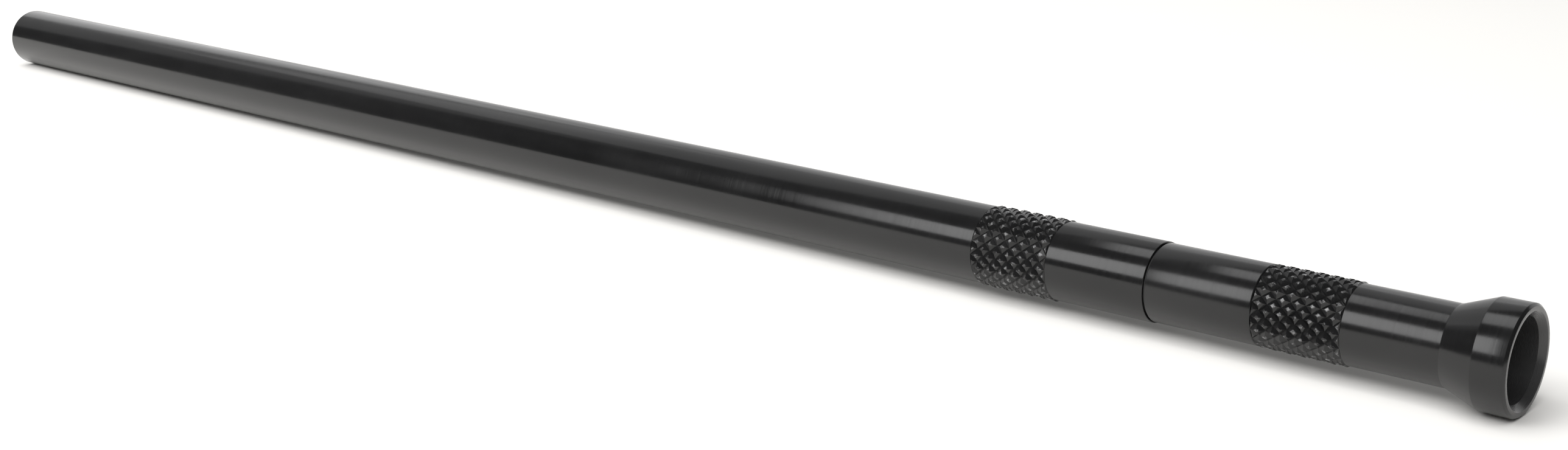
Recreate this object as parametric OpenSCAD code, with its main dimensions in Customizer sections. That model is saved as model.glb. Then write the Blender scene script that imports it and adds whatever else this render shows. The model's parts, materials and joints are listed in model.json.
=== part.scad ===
// Spring bar tool: a slim tube handle with a turning bell head that feeds a fork tip out of its mouth.
// The tool lies along X. The origin is the centre of the bell's rim, and the handle runs towards -X.
// Inside each module Z is the distance back from the rim, and lengthwise() lays it along -X.

/* [Handle tube] */
// overall length, rim to far end
tool_length = 174; // [140:1:210]
// outside diameter of the tube
tube_dia = 6; // [5.8:0.1:7.4]
// wall thickness of the tube
tube_wall = 0.8; // [0.6:0.01:0.96]
// rounding of the tube's far edge
end_round = 0.4; // [0.1:0.05:0.5]
// break on the edges at the seam
edge_break = 0.05; // [0.03:0.01:0.15]

/* [Knurled grips] */
// length of each knurled band
knurl_length = 6.6; // [4:0.1:8]
// height of the knurl's crests over the plain surface
knurl_height = 0.11; // [0.05:0.01:0.15]
// depth of the knurl's grooves under the plain surface
knurl_depth = 0.12; // [0.05:0.01:0.15]
// number of crests round a band
knurl_starts = 18; // [14:1:24]
// number of crests along a band
knurl_rows = 6; // [4:1:10]
// plain length between the seam and the rear band
rear_knurl_gap = 8.2; // [4:0.1:12]
// distance from the rim to the front band
front_knurl_start = 11.7; // [9:0.1:14]

/* [Bell head] */
// length of the head, rim to seam
head_length = 26.6; // [25.5:0.1:29]
// how much smaller the head is than the tube, on the radius
head_step = 0.07; // [0:0.01:0.15]
// how much smaller the neck is than the head, on the radius
neck_step = 0.06; // [0:0.01:0.15]
// outside diameter of the bell
bell_dia = 7.7; // [7:0.1:9]
// length of the bell's straight wall
bell_length = 2.3; // [1.5:0.1:3.5]
// length of the cone between bell and neck
flare_length = 2.5; // [1.5:0.1:4]
// width of the rim's face, its chamfer and the mouth's flare included
rim_width = 0.9; // [0.65:0.05:1.1]
// chamfer on the rim's outer edge
rim_chamfer = 0.18; // [0.05:0.01:0.25]
// how far the mouth's flare widens at the rim
mouth_flare = 0.42; // [0.05:0.01:0.45]
// length of the mouth's flare
mouth_flare_length = 0.45; // [0.05:0.05:0.6]
// depth of the straight mouth
mouth_depth = 2.4; // [1.5:0.1:3.5]
// wall of the neck around the nose bush
neck_wall = 0.72; // [0.5:0.02:0.9]

/* [Tip feed] */
// how far the tip comes out
travel = 8; // [5:0.1:9.6]
// how far the tip's end is behind the rim when retracted
tip_retract = 2.6; // [2.4:0.1:3.5]
// diameter of a tip's shank
tip_dia = 1.5; // [1.2:0.05:1.8]
// length of a tip's flattened or tapered end
blade_length = 4.3; // [3:0.1:5]
// thickness of the fork's blade
blade_thickness = 0.6; // [0.4:0.05:0.8]
// width of the working fork's notch
notch_width = 0.7; // [0.5:0.05:0.8]
// depth of a fork's notch
notch_depth = 1.3; // [0.8:0.1:1.8]
// diameter of the pin on the pointed tip
pin_dia = 0.8; // [0.6:0.05:1]
// length of a tip held in its socket
tip_seat = 4; // [3:0.1:5]
// wall of the tip socket
socket_wall = 0.75; // [0.5:0.05:0.9]
// length of the nose bush
nose_bush_length = 3.1; // [2:0.1:4]

/* [Bearings and lead screw] */
// wall of the journal bush
journal_wall = 0.38; // [0.3:0.02:0.45]
// length of the journal bush
journal_length = 4.3; // [3:0.1:6]
// thickness of the seam washer
seam_washer_thickness = 0.08; // [0.06:0.02:0.3]
// thickness of the thrust washer
thrust_washer_thickness = 0.2; // [0.15:0.05:0.5]
// wall of the sleeve around the lead screw
nut_wall = 0.48; // [0.4:0.02:0.6]
// length of the sleeve's flange, which holds the thread
flange_length = 4.7; // [3.5:0.1:7]
// depth of the lead thread
thread_depth = 0.26; // [0.2:0.02:0.3]
// section of the friction ring
friction_ring_section = 0.38; // [0.3:0.02:0.4]
// length of the hexagon guide
guide_length = 6; // [4:0.5:10]
// length of the stop collar
collar_length = 3; // [2.5:0.1:5]
// diameter of the collar's pin
collar_pin_dia = 0.8; // [0.6:0.1:1]

/* [Spare tip store] */
// length of the screw plug
plug_length = 7; // [6:0.1:9]
// thickness of the plug's flange
plug_flange = 1; // [0.9:0.1:1.5]
// width of the plug's flange beyond the bore, on the radius
plug_lip = 0.25; // [0.2:0.01:0.3]
// section of the plug's sealing ring
plug_ring_section = 0.45; // [0.4:0.01:0.5]
// width of the screwdriver slot
slot_width = 0.7; // [0.5:0.1:1]
// depth of the screwdriver slot
slot_depth = 0.55; // [0.4:0.05:0.8]
// length of the magazine's spring as fitted
spring_length = 12; // [8:0.5:16]
// thickness of the spring's wire
spring_wire = 0.35; // [0.25:0.05:0.4]
// length of the stop disc
stop_length = 3; // [2:0.5:5]

/* [Fits] */
// radial clearance of everything that turns or slides closely
running = 0.02; // [0.015:0.005:0.04]
// radial clearance of the socket in the head
socket_clearance = 0.05; // [0.04:0.01:0.1]
// radial clearance of the magazine in the tube
magazine_clearance = 0.05; // [0.03:0.01:0.1]
// gap left at each stop
stop_gap = 0.2; // [0.1:0.05:0.4]

/* [Hidden] */
$fn = 96;

// diameters, from the tube's wall inwards
bore_dia = tube_dia - 2 * tube_wall;
head_dia = tube_dia - 2 * head_step;
neck_dia = head_dia - 2 * neck_step;
mouth_dia = bell_dia - 2 * rim_width;
nose_bush_dia = neck_dia - 2 * neck_wall;
sleeve_dia = bore_dia - 2 * journal_wall - 2 * running;
flange_dia = bore_dia - 2 * running;
screw_dia = sleeve_dia - 2 * nut_wall - 2 * running;
hex_across_corners = screw_dia - 2 * thread_depth;
socket_dia = max(tip_dia + 2 * socket_wall, screw_dia);
head_bore_dia = socket_dia + 2 * socket_clearance;

// stations back from the rim
throat = mouth_depth + flare_length;
nose_bush_end = throat + nose_bush_length;
socket_front = nose_bush_end + travel + stop_gap;
socket_hole_end = socket_front + tip_seat + 0.3;
socket_end = socket_hole_end + 1.1;
sleeve_front = socket_end + stop_gap;
seam_gap = seam_washer_thickness + 2 * running;
tube_front = head_length + seam_gap;
rear_knurl_start = tube_front + rear_knurl_gap;
journal_end = tube_front + journal_length;
flange_front = journal_end + thrust_washer_thickness + 2 * running;
flange_end = flange_front + flange_length;
friction_ring_at = flange_front + flange_length / 2;
screw_start = flange_front - 2;
screw_end = flange_end + travel + 0.5;
guide_front = screw_end + 1.5;
guide_end = guide_front + guide_length;
collar_front = guide_end + travel + stop_gap;
collar_end = collar_front + collar_length;
rod_end = collar_end + 0.5;

// stations of the spare tip store, from the far end forwards
tip_length = socket_front + tip_seat - tip_retract;
tip_stick_out = 0.8;
plug_front = tool_length - plug_length;
plug_recess = tip_stick_out + 0.7;
plug_seat = tool_length - plug_flange - plug_ring_section - 0.05;
magazine_web = 0.4;
magazine_floor = 2;
magazine_hole = tip_length - tip_stick_out + 0.2;
magazine_front = plug_front - magazine_hole - magazine_floor;
spare_offset = (tip_dia + magazine_web) / 2;
spring_front = magazine_front - spring_length;
spring_dia = bore_dia - 0.4;
spring_turns = 7;
ring_groove_play = 0.05;

// how far a knurled band's bed is below its grooves, and how far its ends reach into the metal
knurl_bed = 0.05;
knurl_lap = 0.02;

black = [0.07, 0.07, 0.08];
steel = [0.72, 0.73, 0.75];
brass = [0.8, 0.65, 0.32];
bronze = [0.66, 0.48, 0.3];
rubber = [0.05, 0.05, 0.05];
plastic = [0.86, 0.85, 0.8];

// lays Z, the distance back from the rim, along -X
module lengthwise() {
    rotate([0, -90, 0]) children();
}

// a plain ring or tube between two stations
module ring(from, to, outer, inner) {
    translate([0, 0, from]) difference() {
        cylinder(d = outer, h = to - from);
        translate([0, 0, -1]) cylinder(d = inner, h = to - from + 2);
    }
}

// a round sealing ring lying in a groove of that inner diameter
module seal(at, inner, section) {
    translate([0, 0, at]) rotate_extrude() translate([inner / 2 + section / 2, 0]) circle(d = section, $fn = 32);
}

// outline points of the bed that a knurled band lies in
function bed(radius, start) = [
    [radius, start],
    [radius - knurl_depth - knurl_bed, start],
    [radius - knurl_depth - knurl_bed, start + knurl_length],
    [radius, start + knurl_length]
];

// a band of pointed diamonds, whose ends and inner wall are sunk in the metal round its bed
module knurl(radius, start) {
    columns = 2 * knurl_starts;
    rows = 2 * knurl_rows;
    row = (knurl_length + 2 * knurl_lap) / rows;
    low = radius - knurl_depth;
    high = radius + knurl_height;
    inner = low - 3 * knurl_bed;
    function at(r, i, j) = [r * cos(j * 360 / columns), r * sin(j * 360 / columns), start - knurl_lap + i * row];
    function crest(i, j) = i == 0 || i == rows ? radius - knurl_lap : (i + j) % 2 == 0 ? low : high;
    function id(i, j) = i * columns + j % columns;
    base = (rows + 1) * columns;
    polyhedron(
        points = concat(
            [for (i = [0 : rows]) for (j = [0 : columns - 1]) at(crest(i, j), i, j)],
            [for (i = [0, rows]) for (j = [0 : columns - 1]) at(inner, i, j)]
        ),
        faces = concat(
            [for (i = [0 : rows - 1]) for (j = [0 : columns - 1]) each (i + j) % 2 == 0
                ? [[id(i, j), id(i + 1, j), id(i + 1, j + 1)], [id(i, j), id(i + 1, j + 1), id(i, j + 1)]]
                : [[id(i, j), id(i + 1, j), id(i, j + 1)], [id(i + 1, j), id(i + 1, j + 1), id(i, j + 1)]]],
            [for (j = [0 : columns - 1]) each [
                [id(0, j), id(0, j + 1), base + id(0, j + 1), base + id(0, j)],
                [id(rows, j + 1), id(rows, j), base + id(1, j), base + id(1, j + 1)],
                [base + id(0, j), base + id(0, j + 1), base + id(1, j + 1), base + id(1, j)]]]
        )
    );
}

module barrel_tube() {
    outer = tube_dia / 2;
    color(black) lengthwise() {
        rotate_extrude() polygon(concat(
            [[bore_dia / 2, tube_front], [outer - edge_break, tube_front], [outer, tube_front + edge_break]],
            bed(outer, rear_knurl_start),
            [for (a = [0 : 15 : 90]) [outer - end_round * (1 - cos(a)), tool_length - end_round * (1 - sin(a))]],
            [[bore_dia / 2 + plug_lip, tool_length], [bore_dia / 2 + plug_lip, plug_seat], [bore_dia / 2, plug_seat]]
        ));
        knurl(outer, rear_knurl_start);
    }
}

module journal_bush() {
    color(bronze) lengthwise() ring(tube_front, journal_end, bore_dia, sleeve_dia + 2 * running);
}

module thrust_washer() {
    color(steel) lengthwise()
        ring(journal_end + running, flange_front - running, bore_dia - 0.1, sleeve_dia + 0.1);
}

module seam_washer() {
    color(rubber) lengthwise()
        ring(head_length + running, tube_front - running, head_dia - 4 * edge_break, sleeve_dia + 0.1);
}

module hexagon_rod(from, to, corners) {
    translate([0, 0, from]) cylinder(d = corners, h = to - from, $fn = 6);
}

module hex_guide() {
    color(bronze) lengthwise() difference() {
        translate([0, 0, guide_front]) cylinder(d = bore_dia, h = guide_length);
        hexagon_rod(guide_front - 1, guide_end + 1, hex_across_corners + 2 * running / cos(30));
    }
}

module bell_head() {
    bell = bell_dia / 2;
    neck = neck_dia / 2;
    color(black) lengthwise() {
        rotate_extrude() polygon(concat(
            [[mouth_dia / 2, mouth_flare_length], [mouth_dia / 2 + mouth_flare, 0]],
            [[bell - rim_chamfer, 0], [bell, rim_chamfer], [bell, bell_length]],
            [[neck, bell_length + flare_length]],
            bed(neck, front_knurl_start),
            [[head_dia / 2, front_knurl_start + knurl_length + head_step]],
            [[head_dia / 2, head_length - edge_break], [head_dia / 2 - edge_break, head_length]],
            [[sleeve_dia / 2, head_length], [sleeve_dia / 2, sleeve_front], [head_bore_dia / 2, sleeve_front]],
            [[head_bore_dia / 2, nose_bush_end], [nose_bush_dia / 2, nose_bush_end]],
            [[nose_bush_dia / 2, throat], [mouth_dia / 2, mouth_depth]]
        ));
        knurl(neck, front_knurl_start);
    }
}

module nose_bush() {
    color(bronze) lengthwise() ring(throat, nose_bush_end, nose_bush_dia, tip_dia + 2 * running);
}

module drive_sleeve() {
    groove = friction_ring_section + ring_groove_play;
    groove_dia = flange_dia - 2 * friction_ring_section;
    color(brass) lengthwise() difference() {
        union() {
            translate([0, 0, sleeve_front]) cylinder(d = sleeve_dia, h = flange_end - sleeve_front);
            translate([0, 0, flange_front]) cylinder(d = flange_dia, h = flange_length);
        }
        translate([0, 0, sleeve_front - 1]) cylinder(d = screw_dia + 2 * running, h = flange_end - sleeve_front + 2);
        translate([0, 0, sleeve_front - 1]) cylinder(d = screw_dia + 0.2, h = flange_front - sleeve_front + 1);
        ring(friction_ring_at - groove / 2, friction_ring_at + groove / 2, flange_dia + 1, groove_dia);
    }
}

module friction_ring() {
    color(rubber) lengthwise()
        seal(friction_ring_at, flange_dia - 2 * friction_ring_section, friction_ring_section);
}

module tip_carrier() {
    color(steel) lengthwise() difference() {
        union() {
            translate([0, 0, socket_front]) cylinder(d = socket_dia, h = socket_end - socket_front);
            translate([0, 0, socket_front]) cylinder(d = screw_dia - 0.2, h = screw_end - socket_front);
            translate([0, 0, screw_start]) cylinder(d = screw_dia, h = screw_end - screw_start);
            hexagon_rod(screw_end - 0.5, rod_end, hex_across_corners);
        }
        translate([0, 0, socket_front - 1]) cylinder(d = tip_dia, h = socket_hole_end - socket_front + 1);
        pin_place() cylinder(d = collar_pin_dia, h = socket_dia + 2, center = true);
    }
}

// the shank of a tip, from behind its shaped end to its tail
module tip_shank() {
    translate([0, 0, blade_length]) cylinder(d = tip_dia, h = tip_length - blade_length);
}

module fork(notch) {
    radius = tip_dia / 2;
    half = blade_thickness / 2;
    difference() {
        union() {
            intersection() {
                cylinder(d = tip_dia, h = blade_length);
                rotate([90, 0, 0]) linear_extrude(tip_dia + 1, center = true) polygon([
                    [-radius * 0.85, 0], [radius * 0.85, 0], [radius, blade_length / 2],
                    [radius, blade_length], [-radius, blade_length], [-radius, blade_length / 2]
                ]);
                rotate([90, 0, 90]) linear_extrude(tip_dia + 1, center = true) polygon([
                    [-half * 0.7, 0], [half * 0.7, 0], [half, blade_length - radius],
                    [radius, blade_length], [-radius, blade_length], [-half, blade_length - radius]
                ]);
            }
            tip_shank();
        }
        translate([-notch / 2, -radius, -1]) cube([notch, tip_dia, notch_depth - notch / 2 + 1]);
        translate([0, 0, notch_depth - notch / 2]) rotate([90, 0, 0]) cylinder(d = notch, h = tip_dia, center = true);
    }
}

module fork_tip() {
    color(steel) lengthwise() translate([0, 0, tip_retract]) fork(notch_width);
}

// a hole or pin across the stop collar
module pin_place() {
    translate([0, 0, collar_front + collar_length / 2]) rotate([90, 0, 0]) children();
}

module stop_collar() {
    color(brass) lengthwise() difference() {
        translate([0, 0, collar_front]) cylinder(d = bore_dia - 1, h = collar_length);
        hexagon_rod(collar_front - 1, collar_end + 1, hex_across_corners);
        pin_place() cylinder(d = collar_pin_dia, h = bore_dia, center = true);
    }
}

module collar_pin() {
    color(steel) lengthwise() pin_place() cylinder(d = collar_pin_dia, h = bore_dia - 1.2, center = true);
}

module magazine_stop() {
    color(plastic) lengthwise() ring(spring_front - stop_length, spring_front, bore_dia, bore_dia / 2);
}

// one slice of the spring's wire, as long round the coil as the wire is thick along the axis
module wire_slice(outer, inner, degrees) {
    steps = [0 : degrees / 6 : degrees + 0.01];
    polygon(concat(
        [for (a = steps) outer * [cos(a), sin(a)]],
        [for (a = steps) inner * [cos(degrees - a), sin(degrees - a)]]
    ));
}

module magazine_spring() {
    outer = spring_dia / 2;
    inner = outer - spring_wire;
    pitch = spring_length / spring_turns;
    color(steel) lengthwise() translate([0, 0, spring_front])
        linear_extrude(spring_length, twist = -360 * spring_turns, slices = 18 * spring_turns, $fn = 14)
            wire_slice(outer, inner, 360 * spring_wire / pitch);
}

module tip_magazine() {
    color(plastic) lengthwise() difference() {
        translate([0, 0, magazine_front]) cylinder(d = bore_dia - 2 * magazine_clearance, h = plug_front - magazine_front);
        for (side = [-1, 1])
            translate([0, side * spare_offset, plug_front - magazine_hole])
                cylinder(d = tip_dia + 2 * running, h = magazine_hole + 1);
    }
}

// a spare tip stands in its hole of the magazine with its tail towards the plug
module in_magazine(side) {
    lengthwise() translate([0, side * spare_offset, plug_front + tip_stick_out - tip_length]) children();
}

module spare_pin_tip() {
    pin_length = blade_length * 0.6;
    color(steel) in_magazine(-1) {
        tip_shank();
        translate([0, 0, pin_length]) cylinder(d1 = pin_dia, d2 = tip_dia, h = blade_length - pin_length);
        translate([0, 0, pin_dia / 4]) cylinder(d = pin_dia, h = pin_length);
        cylinder(d1 = pin_dia / 2, d2 = pin_dia, h = pin_dia / 4);
    }
}

module spare_fine_fork() {
    color(steel) in_magazine(1) fork(notch_width - 0.2);
}

module end_plug() {
    body_end = tool_length - plug_flange;
    color(steel) lengthwise() difference() {
        union() {
            translate([0, 0, plug_front]) cylinder(d = bore_dia, h = plug_seat - plug_front);
            translate([0, 0, plug_front]) cylinder(d = plug_undercut(), h = plug_length);
            translate([0, 0, body_end]) cylinder(d = bore_dia + 2 * plug_lip, h = plug_flange);
        }
        translate([0, 0, plug_front - 1]) cylinder(d = 2 * spare_offset + tip_dia + 0.2, h = plug_recess + 1);
        translate([-tube_dia / 2, -slot_width / 2, tool_length - slot_depth]) cube([tube_dia, slot_width, slot_depth + 1]);
    }
}

function plug_undercut() = bore_dia + 2 * plug_lip - 2 * plug_ring_section;

module plug_ring() {
    color(rubber) lengthwise()
        seal(plug_seat + plug_ring_section / 2 + 0.02, plug_undercut(), plug_ring_section);
}

barrel_tube();
journal_bush();
thrust_washer();
seam_washer();
hex_guide();
bell_head();
nose_bush();
drive_sleeve();
friction_ring();
tip_carrier();
fork_tip();
stop_collar();
collar_pin();
magazine_stop();
magazine_spring();
tip_magazine();
spare_pin_tip();
spare_fine_fork();
end_plug();
plug_ring();
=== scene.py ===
# Spring bar tool: a slim black tube handle with a turning bell head, lying on a pale floor.
# X runs along the tool and out of the bell's mouth, the rim is at X = 0 and Z is up.
# The scene is in metres. Lengths in the dictionaries are in millimetres where no note says otherwise,
# places along the tool are counted back from the rim, and the noise scales are per metre.
import json
import math
import bpy
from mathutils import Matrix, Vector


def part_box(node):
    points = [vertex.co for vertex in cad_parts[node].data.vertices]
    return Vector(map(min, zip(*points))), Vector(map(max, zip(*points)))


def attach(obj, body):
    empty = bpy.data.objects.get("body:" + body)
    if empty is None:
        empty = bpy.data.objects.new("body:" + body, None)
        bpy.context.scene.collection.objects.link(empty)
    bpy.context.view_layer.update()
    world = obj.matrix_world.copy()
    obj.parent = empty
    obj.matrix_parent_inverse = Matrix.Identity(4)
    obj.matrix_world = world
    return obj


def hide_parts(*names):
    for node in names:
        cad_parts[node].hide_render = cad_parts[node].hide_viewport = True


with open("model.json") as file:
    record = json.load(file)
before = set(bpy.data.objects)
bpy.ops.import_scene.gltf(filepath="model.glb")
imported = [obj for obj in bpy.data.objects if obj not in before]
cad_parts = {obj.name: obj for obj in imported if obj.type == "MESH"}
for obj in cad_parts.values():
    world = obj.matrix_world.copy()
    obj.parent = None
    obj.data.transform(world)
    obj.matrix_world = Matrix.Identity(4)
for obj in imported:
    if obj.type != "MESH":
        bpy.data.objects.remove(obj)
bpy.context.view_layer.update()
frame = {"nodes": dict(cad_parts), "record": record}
nodes = frame["nodes"]
print("frame loaded:", len(nodes), "nodes")

mm = 0.001
scene = bpy.context.scene
scene.view_settings.view_transform = "Standard"

modelling = {
    "edgeWidth": 0.03,
    "edgeSteps": 2,
    "edgeAngle": 17,       # degrees
    "smoothAngle": 18,     # degrees
    "mergeGap": 0.001,
}


def deselectAll():
    if bpy.context.object and bpy.context.object.mode != "OBJECT":
        bpy.ops.object.mode_set(mode="OBJECT")
    bpy.ops.object.select_all(action="DESELECT")


def pick(piece):
    deselectAll()
    bpy.context.view_layer.objects.active = piece
    piece.select_set(True)


def startEdit(piece, kind="VERT"):
    pick(piece)
    bpy.ops.object.mode_set(mode="EDIT")
    bpy.ops.mesh.select_mode(type=kind)
    bpy.ops.mesh.select_all(action="DESELECT")


def selectWhere(piece, kind, wanted):
    # picks vertices, edges or faces by their place, then goes back to edit mode
    startEdit(piece, kind)
    bpy.ops.object.mode_set(mode="OBJECT")
    mesh = piece.data
    items = {"VERT": mesh.vertices, "EDGE": mesh.edges, "FACE": mesh.polygons}[kind]
    for item in items:
        item.select = wanted(mesh, item)
    bpy.ops.object.mode_set(mode="EDIT")


def extrudeAlong(step):
    bpy.ops.mesh.extrude_region_move(TRANSFORM_OT_translate={"value": (step, 0, 0)})


def widen(factor, along=0):
    # away from the tool's axis, about a point on it
    bpy.ops.transform.resize(value=(1, factor, factor), center_override=(along, 0, 0))


def closeUp(mergeGap):
    bpy.ops.mesh.select_all(action="SELECT")
    bpy.ops.mesh.remove_doubles(threshold=mergeGap * mm)
    bpy.ops.mesh.normals_make_consistent(inside=False)
    bpy.ops.object.mode_set(mode="OBJECT")


def axisRadius(point):
    return math.hypot(point.y, point.z)


def circleOnAxis(name, sides, station, radius):
    # station is in millimetres back from the rim, radius in metres
    deselectAll()
    bpy.ops.mesh.primitive_circle_add(vertices=sides, radius=radius, location=(-station * mm, 0, 0),
                                      rotation=(0, math.pi / 2, 0))
    ring = bpy.context.object
    ring.name = name
    ring.data.name = name
    bpy.ops.object.transform_apply(location=True, rotation=True, scale=True)
    return ring


def turnPiece(name, sides, outline):
    # outline is a closed list of (distance back from the rim, radius) in millimetres
    station, radius = outline[0]
    piece = circleOnAxis(name, sides, station, radius * mm)
    startEdit(piece)
    bpy.ops.mesh.select_all(action="SELECT")
    for nextStation, nextRadius in outline[1:] + outline[:1]:
        extrudeAlong((station - nextStation) * mm)
        widen(nextRadius / radius, -nextStation * mm)
        station, radius = nextStation, nextRadius
    closeUp(modelling["mergeGap"])
    return piece


def softenEdges(piece):
    pick(piece)
    bevel = piece.modifiers.new("edges", "BEVEL")
    bevel.width = modelling["edgeWidth"] * mm
    bevel.segments = modelling["edgeSteps"]
    bevel.limit_method = "ANGLE"
    bevel.angle_limit = math.radians(modelling["edgeAngle"])
    bevel.use_clamp_overlap = True
    bpy.ops.object.modifier_apply(modifier=bevel.name)


def smoothByAngle(piece):
    pick(piece)
    bpy.ops.object.shade_smooth_by_angle(angle=math.radians(modelling["smoothAngle"]))


def joinInto(piece, other):
    pick(piece)
    other.select_set(True)
    bpy.ops.object.join()


# place, nearest and farthest are in metres, turn is in degrees
camera = {
    "place": (0.0460476, -0.1299848, 0.0458608),
    "turn": (74.15348, -0.00412, 39.79876),
    "lens": 48.913,
    "sensor": 36.0,
    "nearest": 0.002,
    "farthest": 20,
}
deselectAll()
bpy.ops.object.camera_add(location=camera["place"],
                          rotation=[math.radians(turn) for turn in camera["turn"]])
eye = bpy.context.object
eye.name = "camera"
eye.data.sensor_width = camera["sensor"]
eye.data.lens = camera["lens"]
eye.data.clip_start = camera["nearest"]
eye.data.clip_end = camera["farthest"]
scene.camera = eye
print("camera placed")


def newMaterial(name):
    material = bpy.data.materials.new(name)
    material.use_nodes = True
    tree = material.node_tree
    return material, tree, tree.nodes["Principled BSDF"]


def addNode(tree, kind, place, settings=None, values=None):
    node = tree.nodes.new(kind)
    node.location = place
    for key, value in (settings or {}).items():
        setattr(node, key, value)
    for key, value in (values or {}).items():
        node.inputs[key].default_value = value
    return node


def objectCoords(tree, place):
    return addNode(tree, "ShaderNodeTexCoord", place).outputs["Object"]


def mathNode(tree, operation, place, first, second=None):
    # second is a socket, a number or nothing
    node = addNode(tree, "ShaderNodeMath", place, {"operation": operation})
    tree.links.new(first, node.inputs[0])
    if isinstance(second, (int, float)):
        node.inputs[1].default_value = second
    elif second is not None:
        tree.links.new(second, node.inputs[1])
    return node.outputs[0]


def rangeNode(tree, place, source, fromRange, toRange=(0, 1), smooth=False):
    node = addNode(tree, "ShaderNodeMapRange", place,
                   {"interpolation_type": "SMOOTHSTEP" if smooth else "LINEAR"},
                   {"From Min": fromRange[0], "From Max": fromRange[1],
                    "To Min": toRange[0], "To Max": toRange[1]})
    tree.links.new(source, node.inputs["Value"])
    return node.outputs["Result"]


def stretchedNoise(tree, place, coords, scale, detail=3.0, roughness=0.5):
    # noise whose grain size differs along X, Y and Z
    mapping = addNode(tree, "ShaderNodeMapping", (place[0] - 200, place[1]), None, {"Scale": scale})
    noise = addNode(tree, "ShaderNodeTexNoise", place, None,
                    {"Scale": 1.0, "Detail": detail, "Roughness": roughness})
    tree.links.new(coords, mapping.inputs["Vector"])
    tree.links.new(mapping.outputs["Vector"], noise.inputs["Vector"])
    return noise.outputs["Fac"]


# a Mix node set to colour keeps its colour sockets at these places
mixSockets = {"factor": 0, "first": 6, "second": 7, "result": 2}


def mixColour(tree, place, factor, first, second):
    node = addNode(tree, "ShaderNodeMix", place, {"data_type": "RGBA"})
    tree.links.new(factor, node.inputs[mixSockets["factor"]])
    for key, value in (("first", first), ("second", second)):
        socket = node.inputs[mixSockets[key]]
        if isinstance(value, tuple):
            socket.default_value = value
        else:
            tree.links.new(value, socket)
    return node.outputs[mixSockets["result"]]


def bumpNode(tree, place, height, strength, distance, normal=None):
    node = addNode(tree, "ShaderNodeBump", place, None,
                   {"Strength": strength, "Distance": distance * mm})
    tree.links.new(height, node.inputs["Height"])
    if normal is not None:
        tree.links.new(normal, node.inputs["Normal"])
    return node.outputs["Normal"]


blackFinish = {
    "colour": (0.005, 0.005, 0.0052, 1),
    "lighter": (0.009, 0.009, 0.0092, 1),
    # grey for proud surfaces (real rubbing on edges, partly a painted highlight on knurl crests) and
    # for the painted reflection inside the mouth
    "wearAndSheenGrey": (0.2, 0.2, 0.203, 1),
    "turningMarks": 0.03,
    "headMarks": 0.075,
    "lineWidth": 0.06,
    "lineStretch": 160,
    "grainScale": (9000, 9000, 9000),
    "smearScale": (90, 260, 260),
    "scuffScale": (2600, 2600, 2600),
    "scuffRange": (0.48, 0.66),     # where the noise breaks up the grey on proud surfaces
    "toneRange": (0.35, 0.7),
    # smear values that spread the painted reflection's greyer tone
    "paintedSheenRange": (0.3, 0.7),
    "glossRange": (0.3, 0.75),
    "lineRange": (0.3, 0.7),
    "lineGloss": (-0.04, 0.05),     # what the lines take from and add to the roughness
    "grainBump": 0.05,
    "bumpDepth": 0.01,
    "ior": 1.52,
}


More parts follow.
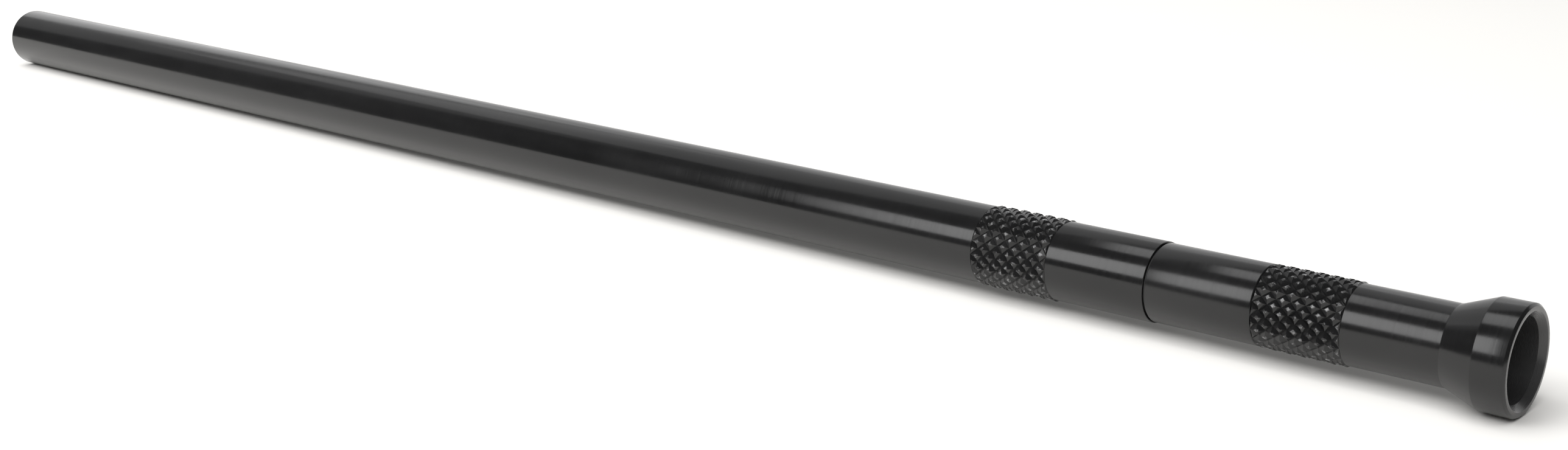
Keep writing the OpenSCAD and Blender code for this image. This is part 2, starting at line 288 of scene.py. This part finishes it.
def blackAnodised(name, wearAndGlintRadii, marks, roughness, paintedSheen=0.0):
    # black dyed metal: fine lines round the axis, faint smears, and a lighter grey where the surface
    # stands proud, partly real rubbing on edges and partly a painted highlight on knurl crests. Two
    # radii give where it starts and where it is full, and the sheen amount adds a greyer tone, a
    # painted reflection.
    look = blackFinish
    material, tree, shader = newMaterial(name)
    coords = objectCoords(tree, (-1500, 0))
    axes = addNode(tree, "ShaderNodeSeparateXYZ", (-1300, 300))
    tree.links.new(coords, axes.inputs[0])
    ySquare = mathNode(tree, "MULTIPLY", (-1100, 360), axes.outputs["Y"], axes.outputs["Y"])
    zSquare = mathNode(tree, "MULTIPLY", (-1100, 220), axes.outputs["Z"], axes.outputs["Z"])
    radius = mathNode(tree, "SQRT", (-760, 300), mathNode(tree, "ADD", (-930, 300), ySquare, zSquare))
    lineScale = (1 / (look["lineWidth"] * mm), look["lineStretch"], look["lineStretch"])
    lines = stretchedNoise(tree, (-1000, 0), coords, lineScale, detail=4.0, roughness=0.6)
    grain = stretchedNoise(tree, (-1000, -250), coords, look["grainScale"], detail=2.0)
    smears = stretchedNoise(tree, (-1000, -500), coords, look["smearScale"], roughness=0.6)
    scuffs = stretchedNoise(tree, (-1000, -750), coords, look["scuffScale"],
                            detail=4.0, roughness=0.65)
    # proud surfaces turn grey: real rubbing on edges, and on knurl crests partly a painted highlight
    proud = rangeNode(tree, (-600, 300), radius, (wearAndGlintRadii[0] * mm, wearAndGlintRadii[1] * mm), smooth=True)
    broken = rangeNode(tree, (-600, 100), scuffs, look["scuffRange"], smooth=True)
    wearAndGlintMask = mathNode(tree, "MULTIPLY", (-400, 200), proud, broken)
    tone = mixColour(tree, (-400, 0), rangeNode(tree, (-600, -150), smears, look["toneRange"]),
                     look["colour"], look["lighter"])
    # painted reflection: a greyer base tone that stands in for light seen inside the mouth
    if paintedSheen:
        paintedSheenMask = rangeNode(tree, (-600, -60), smears, look["paintedSheenRange"], (paintedSheen, paintedSheen / 2))
        tone = mixColour(tree, (-300, -60), paintedSheenMask, tone, look["wearAndSheenGrey"])
    tree.links.new(mixColour(tree, (-200, 120), wearAndGlintMask, tone, look["wearAndSheenGrey"]),
                   shader.inputs["Base Color"])
    smeared = rangeNode(tree, (-600, -350), smears, look["glossRange"], roughness)
    fine = rangeNode(tree, (-600, -550), lines, look["lineRange"], look["lineGloss"])
    tree.links.new(mathNode(tree, "ADD", (-400, -450), smeared, fine), shader.inputs["Roughness"])
    lineBump = bumpNode(tree, (-400, -650), lines, marks, look["bumpDepth"])
    tree.links.new(bumpNode(tree, (-200, -650), grain, look["grainBump"], look["bumpDepth"], lineBump),
                   shader.inputs["Normal"])
    shader.inputs["IOR"].default_value = look["ior"]
    return material


metalFinish = {
    "lineStretch": 250,
    "stainScale": (420, 420, 420),
    "poreScale": (9000, 9000, 9000),
    "poreRange": (0.6, 0.68),
    "noiseRange": (0.3, 0.7),
    "bumpDepth": 0.01,
}


def turnedMetal(name, colour, darker, roughness, lineWidth, marks, speckle=0.0, pitColour=None):
    # bright metal turned on a lathe about the tool's axis, with optional open pores
    look = metalFinish
    material, tree, shader = newMaterial(name)
    coords = objectCoords(tree, (-1300, 0))
    lineScale = (1 / (lineWidth * mm), look["lineStretch"], look["lineStretch"])
    lines = stretchedNoise(tree, (-900, 150), coords, lineScale, detail=4.0, roughness=0.6)
    stains = stretchedNoise(tree, (-900, -100), coords, look["stainScale"], roughness=0.6)
    tone = mixColour(tree, (-400, 200), rangeNode(tree, (-600, 0), stains, look["noiseRange"]),
                     colour, darker)
    height = lines
    if speckle:
        pores = stretchedNoise(tree, (-900, -350), coords, look["poreScale"], roughness=0.6)
        openPores = rangeNode(tree, (-600, -350), pores, look["poreRange"])
        pitted = mathNode(tree, "MULTIPLY", (-400, -350), openPores, speckle)
        tone = mixColour(tree, (-200, 200), pitted, tone, pitColour)
        height = mathNode(tree, "SUBTRACT", (-400, -150), lines, openPores)
    tree.links.new(tone, shader.inputs["Base Color"])
    tree.links.new(rangeNode(tree, (-400, 0), lines, look["noiseRange"], roughness),
                   shader.inputs["Roughness"])
    tree.links.new(bumpNode(tree, (-200, -150), height, marks, look["bumpDepth"]),
                   shader.inputs["Normal"])
    shader.inputs["Metallic"].default_value = 1.0
    return material


plasticFinish = {
    "cloudScale": (500, 500, 500),
    "noiseRange": (0.3, 0.7),
    "bumpDepth": 0.02,
}


def mouldedPlastic(name, colour, shade, roughness, grainSize, grainDepth):
    look = plasticFinish
    material, tree, shader = newMaterial(name)
    coords = objectCoords(tree, (-1300, 0))
    grain = stretchedNoise(tree, (-900, 150), coords, (1 / (grainSize * mm),) * 3, roughness=0.6)
    cloud = stretchedNoise(tree, (-900, -100), coords, look["cloudScale"], detail=2.0)
    tone = mixColour(tree, (-400, 200), rangeNode(tree, (-600, 0), cloud, look["noiseRange"]),
                     colour, shade)
    tree.links.new(tone, shader.inputs["Base Color"])
    tree.links.new(rangeNode(tree, (-400, 0), grain, look["noiseRange"], roughness),
                   shader.inputs["Roughness"])
    tree.links.new(bumpNode(tree, (-200, -150), grain, grainDepth, look["bumpDepth"]),
                   shader.inputs["Normal"])
    return material


plainMarks, headMarks = blackFinish["turningMarks"], blackFinish["headMarks"]
tubeBlack = blackAnodised("tube black", wearAndGlintRadii=(3.04, 3.1), marks=plainMarks, roughness=(0.13, 0.2))
headBlack = blackAnodised("head black", wearAndGlintRadii=(3.852, 3.87), marks=headMarks, roughness=(0.16, 0.24))
# these radii reach the knurl crests, whose grey is partly real rubbing and partly a painted highlight
rearKnurlBlack = blackAnodised("rear knurl black", wearAndGlintRadii=(3.03, 3.09), marks=plainMarks,
                               roughness=(0.16, 0.26))
frontKnurlBlack = blackAnodised("front knurl black", wearAndGlintRadii=(2.9, 2.98), marks=plainMarks,
                                roughness=(0.16, 0.26))
# the mouth's inside gets a greyer tone, a painted reflection
mouthBlack = blackAnodised("mouth black", wearAndGlintRadii=(3.6, 3.7), marks=headMarks, roughness=(0.22, 0.32),
                           paintedSheen=0.2)
finishes = {
    "tool_steel": turnedMetal("ground steel", colour=(0.6, 0.61, 0.63, 1),
                              darker=(0.42, 0.42, 0.44, 1), roughness=(0.2, 0.34),
                              lineWidth=0.05, marks=0.2),
    "brass": turnedMetal("turned brass", colour=(0.78, 0.57, 0.24, 1),
                         darker=(0.55, 0.38, 0.15, 1), roughness=(0.22, 0.36),
                         lineWidth=0.08, marks=0.3),
    "bronze": turnedMetal("oiled bronze", colour=(0.5, 0.31, 0.16, 1),
                          darker=(0.32, 0.19, 0.1, 1), roughness=(0.34, 0.5),
                          lineWidth=0.06, marks=0.2, speckle=0.8, pitColour=(0.06, 0.035, 0.02, 1)),
    "seal_rubber": mouldedPlastic("ring rubber", colour=(0.02, 0.02, 0.02, 1),
                                  shade=(0.035, 0.034, 0.033, 1), roughness=(0.55, 0.75),
                                  grainSize=0.05, grainDepth=0.3),
    "black_plastic": mouldedPlastic("black bearing plastic", colour=(0.018, 0.018, 0.018, 1),
                                    shade=(0.03, 0.03, 0.03, 1), roughness=(0.45, 0.6),
                                    grainSize=0.06, grainDepth=0.2),
    "white_plastic": mouldedPlastic("natural bearing plastic", colour=(0.78, 0.76, 0.7, 1),
                                    shade=(0.66, 0.63, 0.56, 1), roughness=(0.4, 0.55),
                                    grainSize=0.08, grainDepth=0.15),
}
for part in frame["record"]["subparts"]:
    node = nodes[part["node"]]
    finish = finishes.get(part["material_slot"], tubeBlack)
    node.data.materials.clear()
    node.data.materials.append(finish)
print("materials made")


knurl = {
    "starts": 18,
    "rows": 6,
    "length": 6.6,
    "height": 0.2,        # crest over the plain surface, before its point is cut
    "depth": 0.12,        # groove under the plain surface
    "blunt": 0.17,        # how far down its edges a crest's point is cut
    "endDrop": 0.004,     # where a groove runs out, under the plain surface
    "bedDepth": 0.3,
    "bedLap": 0.05,       # how far the band's inner wall lies under its bed
    "endReach": 0.0001,   # how close to an end counts as on it
    "mergeGap": 0.0005,
}


def knurledBand(name, station, plainRadius, finish):
    starts, rows = knurl["starts"], knurl["rows"]
    low = (plainRadius - knurl["depth"]) * mm
    flat = low * math.cos(math.pi / starts)     # middle of a flat in the first grid
    halfway = (flat + low) / 2                  # middle of a diamond
    row = knurl["length"] / rows * mm
    front, back = -station * mm, -(station + knurl["length"]) * mm

    def gridLine(mesh, edge):
        ends = [mesh.vertices[i].co for i in edge.vertices]
        onGrid = all(axisRadius(end) > halfway for end in ends)
        middle = (ends[0].x + ends[1].x) / 2
        return onGrid and back + row / 4 < middle < front - row / 4

    def atEnd(mesh, vertex):
        return min(abs(vertex.co.x - front), abs(vertex.co.x - back)) < knurl["endReach"] * mm

    def endLine(mesh, edge):
        return all(atEnd(mesh, mesh.vertices[i]) for i in edge.vertices)

    band = circleOnAxis(name, starts, station, low)
    startEdit(band)
    bpy.ops.mesh.select_all(action="SELECT")
    for _ in range(rows):
        extrudeAlong(-row)
    bpy.ops.mesh.select_all(action="SELECT")
    bpy.ops.mesh.normals_make_consistent(inside=False)
    bpy.ops.mesh.select_mode(type="FACE")
    bpy.ops.mesh.select_all(action="SELECT")
    bpy.ops.mesh.poke()
    # the first grid's lines go, which leaves diamonds with half ones at both ends
    selectWhere(band, "EDGE", gridLine)
    bpy.ops.mesh.dissolve_edges(use_verts=False)
    # the poked centres lie on the flats, so they move out to the round
    selectWhere(band, "VERT", lambda mesh, vertex: axisRadius(vertex.co) < halfway)
    widen(low / flat)
    # each diamond is poked again, and its middle is drawn out to a crest with its point cut off
    bpy.ops.mesh.select_mode(type="FACE")
    bpy.ops.mesh.select_all(action="SELECT")
    bpy.ops.mesh.poke()
    selectWhere(band, "VERT", lambda mesh, vertex: axisRadius(vertex.co) < (halfway + low) / 2)
    widen((plainRadius + knurl["height"]) * mm / halfway)
    bpy.ops.mesh.bevel(offset=knurl["blunt"] * mm, segments=1, affect="VERTICES", clamp_overlap=True)
    # the grooves run out to the plain surface at both ends
    selectWhere(band, "VERT", atEnd)
    endRadius = plainRadius - knurl["endDrop"]
    widen(endRadius * mm / low)
    # both ends turn in to the bed, and an inner wall closes the band
    selectWhere(band, "EDGE", endLine)
    extrudeAlong(0)
    widen((plainRadius - knurl["bedDepth"] - knurl["bedLap"]) / endRadius)
    bpy.ops.mesh.bridge_edge_loops()
    closeUp(knurl["mergeGap"])
    smoothByAngle(band)
    band.data.materials.append(finish)
    return band


tubeLow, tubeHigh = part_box("barrel_tube")
tube = {
    "sides": 108,
    "front": -tubeHigh.x / mm,
    "end": -tubeLow.x / mm,
    "radius": 3.0,
    "bore": 2.2,
    "plugSeat": (0.25, 1.5),    # widening of the bore, and how deep it goes
    "knurlFrom": 8.2,           # from the tube's front
    "seamBreak": 0.03,
    "endRound": 0.4,
    "endSteps": 6,
}


def handleTube():
    front, end, radius, bore = tube["front"], tube["end"], tube["radius"], tube["bore"]
    seamBreak, endRound, steps = tube["seamBreak"], tube["endRound"], tube["endSteps"]
    lip, seat = tube["plugSeat"]
    first = front + tube["knurlFrom"]
    last = first + knurl["length"]
    bed = radius - knurl["bedDepth"]
    turns = [math.radians(90 * step / steps) for step in range(steps + 1)]
    outline = [(front, bore), (front, radius - seamBreak), (front + seamBreak, radius),
               (first, radius), (first, bed), (last, bed), (last, radius)]
    outline += [(end - endRound * (1 - math.sin(turn)), radius - endRound * (1 - math.cos(turn)))
                for turn in turns]
    outline += [(end, bore + lip), (end - seat, bore + lip), (end - seat, bore)]
    piece = turnPiece("handleTube", tube["sides"], outline)
    softenEdges(piece)
    smoothByAngle(piece)
    piece.data.materials.append(tubeBlack)
    joinInto(piece, knurledBand("rearKnurl", first, radius, rearKnurlBlack))
    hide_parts("barrel_tube")
    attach(piece, "handle")


handleTube()
print("handle tube made")


head = {
    "sides": 108,
    "radius": 2.93,
    "neck": 2.87,
    "bell": 3.85,
    "mouth": 2.95,
    "rimChamfer": 0.18,
    "flare": (0.45, 0.42),      # length and widening of the mouth's flare
    "bellLength": 2.3,
    "coneLength": 2.5,
    "knurlFrom": 11.7,
    "stepLength": 0.07,         # slope from the neck up to the plain sleeve, behind the knurl
    "length": 26.6,
    "seamBreak": 0.03,
    # front end and radius of the bores for the sleeve, the tip carrier and the nose bush
    "bores": [(21.8, 1.8), (8.0, 1.55), (4.9, 2.15)],
    "mouthDepth": 2.4,
    "mouthSlot": 1,             # the mouth's finish, after the outside's
}


def bellHead():
    radius, neck, bell, mouth = head["radius"], head["neck"], head["bell"], head["mouth"]
    length, seamBreak, chamfer = head["length"], head["seamBreak"], head["rimChamfer"]
    first = head["knurlFrom"]
    last = first + knurl["length"]
    bed = neck - knurl["bedDepth"]
    coneEnd = head["bellLength"] + head["coneLength"]
    (sleeveEnd, sleeve), (carrierEnd, carrier), (throat, nose) = head["bores"]
    flareLength, flare = head["flare"]
    outline = [(0, mouth + flare), (0, bell - chamfer), (chamfer, bell),
               (head["bellLength"], bell), (coneEnd, neck),
               (first, neck), (first, bed), (last, bed), (last, neck),
               (last + head["stepLength"], radius), (length - seamBreak, radius),
               (length, radius - seamBreak), (length, sleeve), (sleeveEnd, sleeve),
               (sleeveEnd, carrier), (carrierEnd, carrier), (carrierEnd, nose), (throat, nose),
               (head["mouthDepth"], mouth), (flareLength, mouth)]
    piece = turnPiece("bellHead", head["sides"], outline)
    softenEdges(piece)
    smoothByAngle(piece)
    piece.data.materials.append(headBlack)
    piece.data.materials.append(mouthBlack)

    def insideMouth(mesh, face):
        inward = face.normal.y * face.center.y + face.normal.z * face.center.z < 0
        return inward and face.center.x > -throat * mm

    selectWhere(piece, "FACE", insideMouth)
    piece.active_material_index = head["mouthSlot"]
    bpy.ops.object.material_slot_assign()
    bpy.ops.object.mode_set(mode="OBJECT")
    joinInto(piece, knurledBand("frontKnurl", first, neck, frontKnurlBlack))
    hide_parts("bell_head")
    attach(piece, "head")


bellHead()
print("bell head made")


floorValues = {
    "size": 6.0,            # metres
    "underRim": -3.85,      # the floor's height where the bell's rim stands
    "underEnd": -3.0,       # and where the tube's far end stands
    "colour": (0.9, 0.89, 0.865, 1),
    "shade": (0.88, 0.865, 0.84, 1),
    "cloudScale": (6, 6, 6),
    "roughness": 0.9,
    "specular": 0.2,
}


def paleFloor():
    run = tube["end"] * mm
    rise = (floorValues["underEnd"] - floorValues["underRim"]) * mm
    deselectAll()
    bpy.ops.mesh.primitive_plane_add(size=floorValues["size"],
                                     location=(0, 0, floorValues["underRim"] * mm),
                                     rotation=(0, math.atan2(rise, run), 0))
    plane = bpy.context.object
    plane.name = "floor"
    material, tree, shader = newMaterial("pale floor")
    coords = objectCoords(tree, (-900, 0))
    cloud = stretchedNoise(tree, (-500, 0), coords, floorValues["cloudScale"], detail=2.0)
    tree.links.new(mixColour(tree, (-200, 0), cloud, floorValues["colour"], floorValues["shade"]),
                   shader.inputs["Base Color"])
    shader.inputs["Roughness"].default_value = floorValues["roughness"]
    shader.inputs["Specular IOR Level"].default_value = floorValues["specular"]
    plane.data.materials.append(material)


# place and aim are scene coordinates in millimetres, and brightness is what a mirror would show,
# on a scale where the floor is about 1
lamps = {
    "overhead": {"place": (-60, -380, 600), "aim": (-80, 0, 0), "size": (1000, 700),
                 "brightness": 3.1, "mirrored": False},
    "frontBox": {"place": (-262, -400, 268), "aim": (-262, 0, 0), "size": (322, 270),
                 "brightness": 3.7, "mirrored": True},
    "topBox": {"place": (-112, 0, 420), "aim": (-112, 0, 0), "size": (205, 200),
               "brightness": 2.3, "mirrored": True},
    "backWall": {"place": (-300, 520, 180), "aim": (-80, 0, 100), "size": (1600, 420),
                 "brightness": 0.75, "mirrored": True},
    "backTop": {"place": (-420, 300, 520), "aim": (-80, 0, 0), "size": (900, 360),
                "brightness": 0.5, "mirrored": True},
    "leftWall": {"place": (-700, 150, 260), "aim": (-100, 150, 100), "size": (600, 560),
                 "brightness": 0.3, "mirrored": True},
}


def addLamp(name, values):
    deselectAll()
    bpy.ops.object.light_add(type="AREA", location=[v * mm for v in values["place"]])
    lamp = bpy.context.object
    lamp.name = name
    lamp.data.shape = "RECTANGLE"
    lamp.data.size, lamp.data.size_y = [v * mm for v in values["size"]]
    lamp.data.energy = values["brightness"] * math.pi * lamp.data.size * lamp.data.size_y
    aim = lamp.location.copy()
    aim.x, aim.y, aim.z = [v * mm for v in values["aim"]]
    lamp.rotation_euler = (aim - lamp.location).to_track_quat("-Z", "Y").to_euler()
    lamp.visible_camera = False
    lamp.visible_glossy = values["mirrored"]


roomLight = {
    "colour": (1, 1, 1, 1),
    "strength": 0.1,
}


def dimRoom():
    room = bpy.data.worlds.new("room")
    room.use_nodes = True
    background = room.node_tree.nodes["Background"]
    background.inputs["Color"].default_value = roomLight["colour"]
    background.inputs["Strength"].default_value = roomLight["strength"]
    scene.world = room


paleFloor()
for name, values in lamps.items():
    addLamp(name, values)
dimRoom()
print("floor and lights made")
